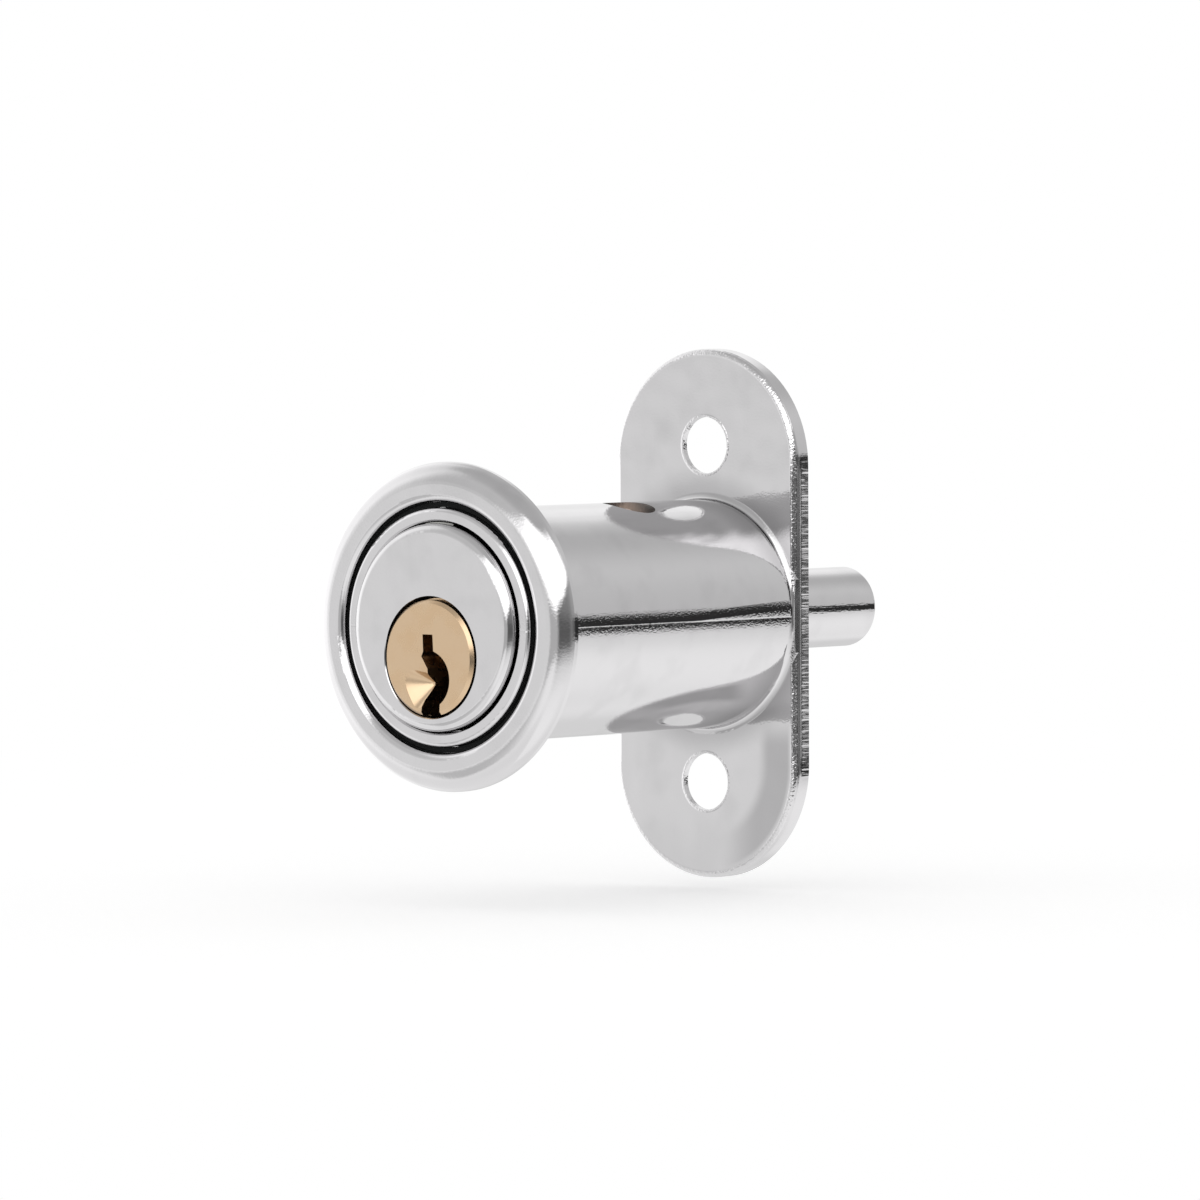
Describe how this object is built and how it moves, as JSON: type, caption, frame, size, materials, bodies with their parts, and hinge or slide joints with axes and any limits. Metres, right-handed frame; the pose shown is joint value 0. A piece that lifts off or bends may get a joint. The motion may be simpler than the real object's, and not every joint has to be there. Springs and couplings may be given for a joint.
{
  "type": "push lock",
  "caption": "Push-in cylinder lock for a sliding cabinet door: a chrome barrel on a two-screw flange, a keyed plunger with a round bolt behind it, and a trim ring in front.",
  "frame": {"origin": "on the lock axis, midway between the two screw holes, in the flange face that bears on the back of the door", "axes": "+Y along the lock axis toward the bolt tip, the key side facing -Y; +Z along the flange's long side, on the side of the pin stacks and the detent; +X to the right seen from the key side"},
  "size_m": [0.0304, 0.0617, 0.0502],
  "materials": {
    "housing_chrome": "bright chrome plate over a die casting",
    "ring_chrome": "bright chrome plate",
    "plunger_chrome": "bright chrome plate over a die casting",
    "bolt_chrome": "bright chrome plate on turned steel",
    "bush_rubber": "matt black",
    "plug_brass": "fine turned",
    "pin_brass": "turned",
    "cover_brass": "rolled strip",
    "detent_brass": "turned",
    "disc_steel": "as sintered",
    "hardened_steel": "ground",
    "pin_steel": "turned nickel silver",
    "spring_steel": "drawn wire"
  },
  "bodies": {
    "housing": {"housing": "housing_chrome", "guide_pin": "hardened_steel", "main_spring": "spring_steel"},
    "rosette": {"rosette": "ring_chrome", "rosette_bush": "bush_rubber"},
    "plunger": {"plunger_body": "plunger_chrome", "chamber_cover": "cover_brass", "plug_retaining_pin": "hardened_steel", "bolt": "bolt_chrome", "bolt_cross_pin": "hardened_steel", "detent_spring": "spring_steel", "driver_pin_1": "pin_steel", "driver_pin_2": "pin_steel", "driver_pin_3": "pin_steel", "driver_pin_4": "pin_steel", "driver_pin_5": "pin_steel", "tumbler_spring_1": "spring_steel", "tumbler_spring_2": "spring_steel", "tumbler_spring_3": "spring_steel", "tumbler_spring_4": "spring_steel", "tumbler_spring_5": "spring_steel"},
    "key_cylinder": {"plug": "plug_brass", "cam_disc": "disc_steel", "key_pin_1": "pin_brass", "key_pin_2": "pin_brass", "key_pin_3": "pin_brass", "key_pin_4": "pin_brass", "key_pin_5": "pin_brass"},
    "detent": {"detent": "detent_brass", "detent_peg": "hardened_steel"}
  },
  "joints": [
    {"name": "plunger_slide", "type": "slide", "parent": "housing", "child": "plunger", "axis": [0, -1, 0], "range_m": [0, 0.01], "deforming": ["main_spring"]},
    {"name": "key_turn", "type": "hinge", "parent": "plunger", "child": "key_cylinder", "pos_m": [0, 0, -0.00278], "axis": [0, 1, 0], "range_deg": [0, 90]},
    {"name": "detent_slide", "type": "slide", "parent": "plunger", "child": "detent", "axis": [-0.1736, 0, -0.9848], "range_m": [0, 0.006], "deforming": ["detent_spring"]},
    {"name": "rosette_slide", "type": "slide", "parent": "housing", "child": "rosette", "axis": [0, -1, 0], "range_m": [-0.02, 0.03]}
  ],
  "couplings": [
    {"joint": "key_turn", "follows": "plunger_slide", "rad_per_m": 157.08},
    {"joint": "detent_slide", "follows": "plunger_slide", "ratio": 0.6}
  ]
}
